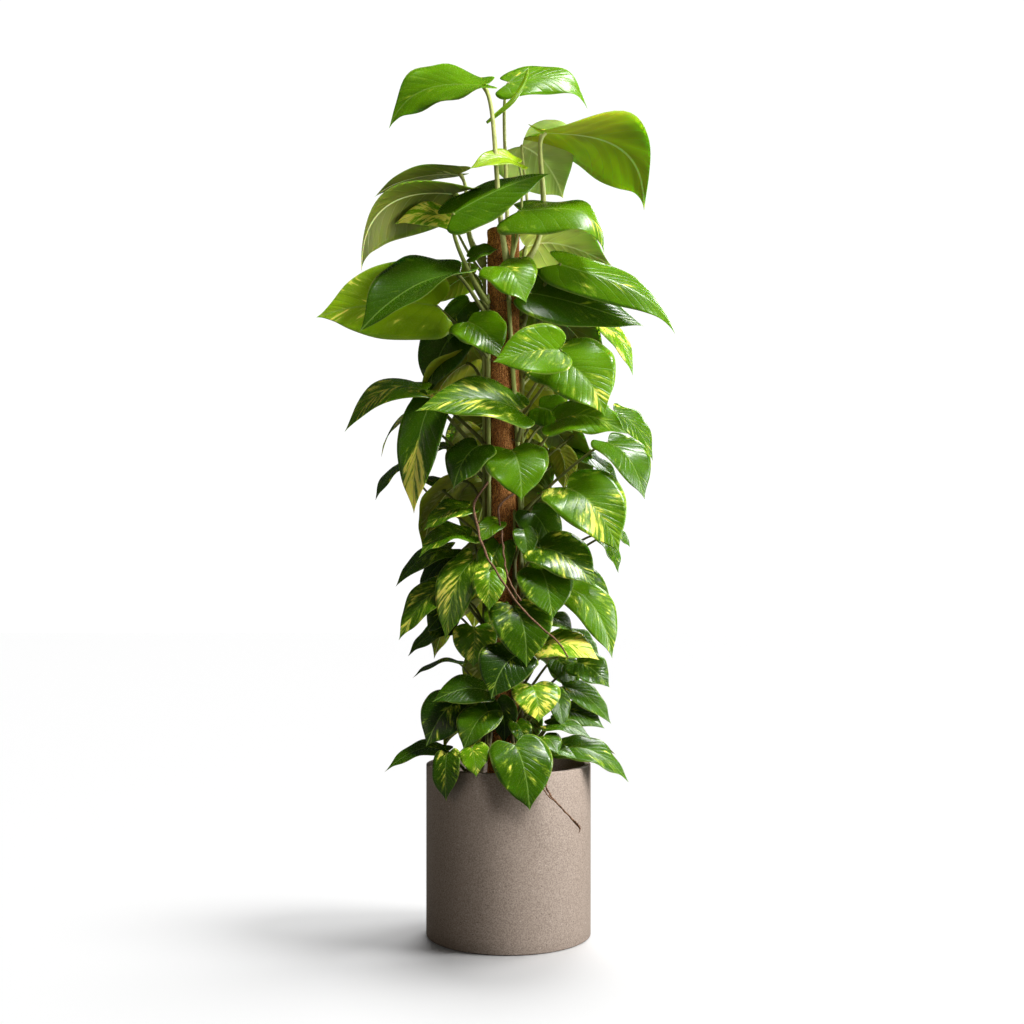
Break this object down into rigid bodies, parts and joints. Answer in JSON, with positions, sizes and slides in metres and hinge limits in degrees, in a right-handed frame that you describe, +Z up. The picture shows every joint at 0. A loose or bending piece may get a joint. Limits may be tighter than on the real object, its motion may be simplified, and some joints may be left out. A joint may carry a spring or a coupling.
{
  "type": "potted climbing pothos",
  "caption": "Tall potted golden pothos that climbs a coir pole, with heart-shaped variegated leaves, in a plain matte cylinder pot.",
  "frame": {"origin": "centre of the pot's underside", "axes": "+Z up along the pot and the pole, +X to the right and -Y towards the viewer"},
  "size_m": [0.6083, 0.3702, 1.5053],
  "materials": {
    "clay": "matte warm taupe fibre clay with fine specks",
    "potting_soil": "dark crumbly potting soil",
    "stake_wood": "plain unfinished wood",
    "coir": "rough reddish-brown coir fibre",
    "foliage": "waxy green leaf with cream and yellow streaks, semi-gloss"
  },
  "bodies": {
    "root": {"pot": "clay", "soil": "potting_soil", "pole_core": "stake_wood", "coir_pole": "coir", "vine_front": "foliage", "vine_left_front": "foliage", "vine_right_front": "foliage", "vine_left": "foliage", "vine_right": "foliage", "vine_left_back": "foliage", "vine_right_back": "foliage", "vine_back": "foliage"}
  },
  "joints": []
}
